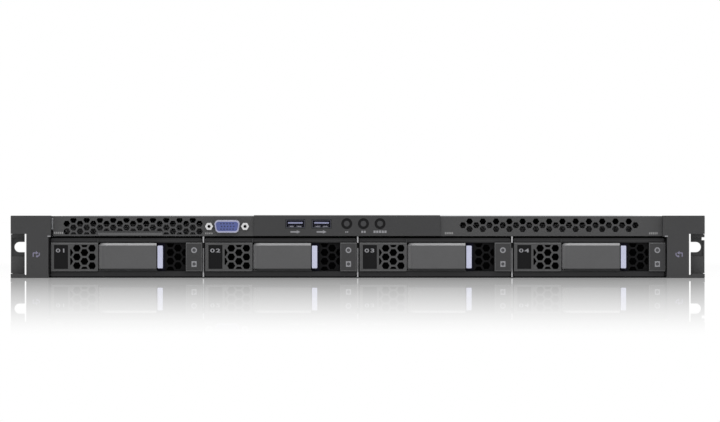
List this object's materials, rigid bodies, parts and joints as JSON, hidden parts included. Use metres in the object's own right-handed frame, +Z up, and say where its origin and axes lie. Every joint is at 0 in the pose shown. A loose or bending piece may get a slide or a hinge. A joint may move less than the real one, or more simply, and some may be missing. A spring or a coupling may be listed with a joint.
{
  "type": "rack server",
  "caption": "Low flat rack server with slotted ears, a perforated front panel with control panel and sockets, lever-locked drive trays, a sliding cover and hot-swap power supplies.",
  "frame": {"origin": "on the underside, at mid width, in the plane where the ears' flanges meet the rack posts", "axes": "+X to the right seen from the front, +Y towards the rear, +Z up"},
  "size_m": [0.4826, 0.74, 0.0436],
  "materials": {
    "zinc_steel": "zinc-plated sheet",
    "front_paint": "fine textured dark grey paint",
    "ear_plastic": "fine grained moulding",
    "control_plastic": "fine grained moulding",
    "bezel_plastic": "fine grained moulding",
    "lever_plastic": "satin grey moulding",
    "touch_plastic": "pale blue touch points",
    "button_plastic": "satin",
    "tag_plastic": "satin",
    "socket_metal": "nickel-plated shells with coloured inserts",
    "circuit_board": "solder mask",
    "heatsink_metal": "bare aluminium",
    "fan_plastic": "black moulding",
    "psu_steel": "zinc-plated sheet"
  },
  "bodies": {
    "base": {"chassis_tray": "zinc_steel", "rear_panel": "zinc_steel", "drive_cage": "zinc_steel", "slot_covers": "zinc_steel", "tag_guide": "zinc_steel", "rail_studs": "zinc_steel", "screws": "zinc_steel", "front_panel": "front_paint", "rack_ear_left": "front_paint", "rack_ear_right": "front_paint", "ear_cover_left": "ear_plastic", "ear_cover_right": "ear_plastic", "control_panel": "control_plastic", "front_usb_sockets": "socket_metal", "front_vga_socket": "socket_metal", "rear_sockets": "socket_metal", "control_board": "circuit_board", "motherboard": "circuit_board", "drive_backplane": "circuit_board", "memory_modules": "circuit_board", "cpu_heatsinks": "heatsink_metal", "fan_frames": "fan_plastic"},
    "cover": {"top_cover": "zinc_steel", "cover_latch_cup": "tag_plastic"},
    "cover_latch": {"cover_latch": "tag_plastic"},
    "tray_1": {"tray_bezel_1": "bezel_plastic", "tray_carrier_1": "zinc_steel", "hard_drive_1": "heatsink_metal"},
    "lever_1": {"tray_lever_1": "lever_plastic"},
    "latch_1": {"lever_latch_1": "touch_plastic"},
    "tray_2": {"tray_bezel_2": "bezel_plastic", "tray_carrier_2": "zinc_steel", "hard_drive_2": "heatsink_metal"},
    "lever_2": {"tray_lever_2": "lever_plastic"},
    "latch_2": {"lever_latch_2": "touch_plastic"},
    "tray_3": {"tray_bezel_3": "bezel_plastic", "tray_carrier_3": "zinc_steel", "hard_drive_3": "heatsink_metal"},
    "lever_3": {"tray_lever_3": "lever_plastic"},
    "latch_3": {"lever_latch_3": "touch_plastic"},
    "tray_4": {"tray_bezel_4": "bezel_plastic", "tray_carrier_4": "zinc_steel", "hard_drive_4": "heatsink_metal"},
    "lever_4": {"tray_lever_4": "lever_plastic"},
    "latch_4": {"lever_latch_4": "touch_plastic"},
    "power_button": {"power_button": "button_plastic"},
    "identify_button": {"identify_button": "button_plastic"},
    "reset_button": {"reset_button": "button_plastic"},
    "tag": {"pull_tag": "tag_plastic"},
    "psu_1": {"psu_case_1": "psu_steel"},
    "psu_latch_1": {"psu_latch_1": "touch_plastic"},
    "psu_rotor_1": {"psu_rotor_1": "fan_plastic"},
    "psu_2": {"psu_case_2": "psu_steel"},
    "psu_latch_2": {"psu_latch_2": "touch_plastic"},
    "psu_rotor_2": {"psu_rotor_2": "fan_plastic"},
    "fan_rotor_1": {"fan_rotor_1": "fan_plastic"},
    "fan_rotor_2": {"fan_rotor_2": "fan_plastic"},
    "fan_rotor_3": {"fan_rotor_3": "fan_plastic"},
    "fan_rotor_4": {"fan_rotor_4": "fan_plastic"},
    "fan_rotor_5": {"fan_rotor_5": "fan_plastic"}
  },
  "joints": [
    {"name": "cover_slide", "type": "slide", "parent": "base", "child": "cover", "axis": [0, 1, 0], "range_m": [0, 0.012]},
    {"name": "cover_latch_swing", "type": "hinge", "parent": "cover", "child": "cover_latch", "pos_m": [0, 0.437, 0.0396], "axis": [1, 0, 0], "range_deg": [0, 80]},
    {"name": "tray_slide_1", "type": "slide", "parent": "base", "child": "tray_1", "axis": [0, -1, 0], "range_m": [0, 0.18]},
    {"name": "lever_swing_1", "type": "hinge", "parent": "tray_1", "child": "lever_1", "pos_m": [-0.1744, -0.0072, 0.0146], "axis": [0, 0, -1], "range_deg": [0, 55]},
    {"name": "latch_slide_1", "type": "slide", "parent": "tray_1", "child": "latch_1", "axis": [1, 0, 0], "range_m": [0, 0.0022], "stiffness_N_per_m": 400},
    {"name": "tray_slide_2", "type": "slide", "parent": "base", "child": "tray_2", "axis": [0, -1, 0], "range_m": [0, 0.18]},
    {"name": "lever_swing_2", "type": "hinge", "parent": "tray_2", "child": "lever_2", "pos_m": [-0.0672, -0.0072, 0.0146], "axis": [0, 0, -1], "range_deg": [0, 55]},
    {"name": "latch_slide_2", "type": "slide", "parent": "tray_2", "child": "latch_2", "axis": [1, 0, 0], "range_m": [0, 0.0022], "stiffness_N_per_m": 400},
    {"name": "tray_slide_3", "type": "slide", "parent": "base", "child": "tray_3", "axis": [0, -1, 0], "range_m": [0, 0.18]},
    {"name": "lever_swing_3", "type": "hinge", "parent": "tray_3", "child": "lever_3", "pos_m": [0.04, -0.0072, 0.0146], "axis": [0, 0, -1], "range_deg": [0, 55]},
    {"name": "latch_slide_3", "type": "slide", "parent": "tray_3", "child": "latch_3", "axis": [1, 0, 0], "range_m": [0, 0.0022], "stiffness_N_per_m": 400},
    {"name": "tray_slide_4", "type": "slide", "parent": "base", "child": "tray_4", "axis": [0, -1, 0], "range_m": [0, 0.18]},
    {"name": "lever_swing_4", "type": "hinge", "parent": "tray_4", "child": "lever_4", "pos_m": [0.1472, -0.0072, 0.0146], "axis": [0, 0, -1], "range_deg": [0, 55]},
    {"name": "latch_slide_4", "type": "slide", "parent": "tray_4", "child": "latch_4", "axis": [1, 0, 0], "range_m": [0, 0.0022], "stiffness_N_per_m": 400},
    {"name": "power_press", "type": "slide", "parent": "base", "child": "power_button", "axis": [0, 1, 0], "range_m": [0, 0.0012], "stiffness_N_per_m": 800},
    {"name": "identify_press", "type": "slide", "parent": "base", "child": "identify_button", "axis": [0, 1, 0], "range_m": [0, 0.0012], "stiffness_N_per_m": 800},
    {"name": "reset_press", "type": "slide", "parent": "base", "child": "reset_button", "axis": [0, 1, 0], "range_m": [0, 0.0012], "stiffness_N_per_m": 800},
    {"name": "tag_slide", "type": "slide", "parent": "base", "child": "tag", "axis": [0, -1, 0], "range_m": [0, 0.05]},
    {"name": "psu_slide_1", "type": "slide", "parent": "base", "child": "psu_1", "axis": [0, 1, 0], "range_m": [0, 0.19]},
    {"name": "psu_latch_slide_1", "type": "slide", "parent": "psu_1", "child": "psu_latch_1", "axis": [-1, 0, 0], "range_m": [0, 0.003], "stiffness_N_per_m": 500},
    {"name": "psu_fan_spin_1", "type": "hinge", "parent": "psu_1", "child": "psu_rotor_1", "pos_m": [0.0827, 0.7, 0.021], "axis": [0, 1, 0], "continuous": true},
    {"name": "psu_slide_2", "type": "slide", "parent": "base", "child": "psu_2", "axis": [0, 1, 0], "range_m": [0, 0.19]},
    {"name": "psu_latch_slide_2", "type": "slide", "parent": "psu_2", "child": "psu_latch_2", "axis": [-1, 0, 0], "range_m": [0, 0.003], "stiffness_N_per_m": 500},
    {"name": "psu_fan_spin_2", "type": "hinge", "parent": "psu_2", "child": "psu_rotor_2", "pos_m": [0.1582, 0.7, 0.021], "axis": [0, 1, 0], "continuous": true},
    {"name": "fan_spin_1", "type": "hinge", "parent": "base", "child": "fan_rotor_1", "pos_m": [-0.17, 0.19, 0.0212], "axis": [0, 1, 0], "continuous": true},
    {"name": "fan_spin_2", "type": "hinge", "parent": "base", "child": "fan_rotor_2", "pos_m": [-0.085, 0.19, 0.0212], "axis": [0, 1, 0], "continuous": true},
    {"name": "fan_spin_3", "type": "hinge", "parent": "base", "child": "fan_rotor_3", "pos_m": [0, 0.19, 0.0212], "axis": [0, 1, 0], "continuous": true},
    {"name": "fan_spin_4", "type": "hinge", "parent": "base", "child": "fan_rotor_4", "pos_m": [0.085, 0.19, 0.0212], "axis": [0, 1, 0], "continuous": true},
    {"name": "fan_spin_5", "type": "hinge", "parent": "base", "child": "fan_rotor_5", "pos_m": [0.17, 0.19, 0.0212], "axis": [0, 1, 0], "continuous": true}
  ],
  "couplings": [
    {"joint": "cover_latch_swing", "follows": "cover_slide", "rad_per_m": 116.21}
  ]
}
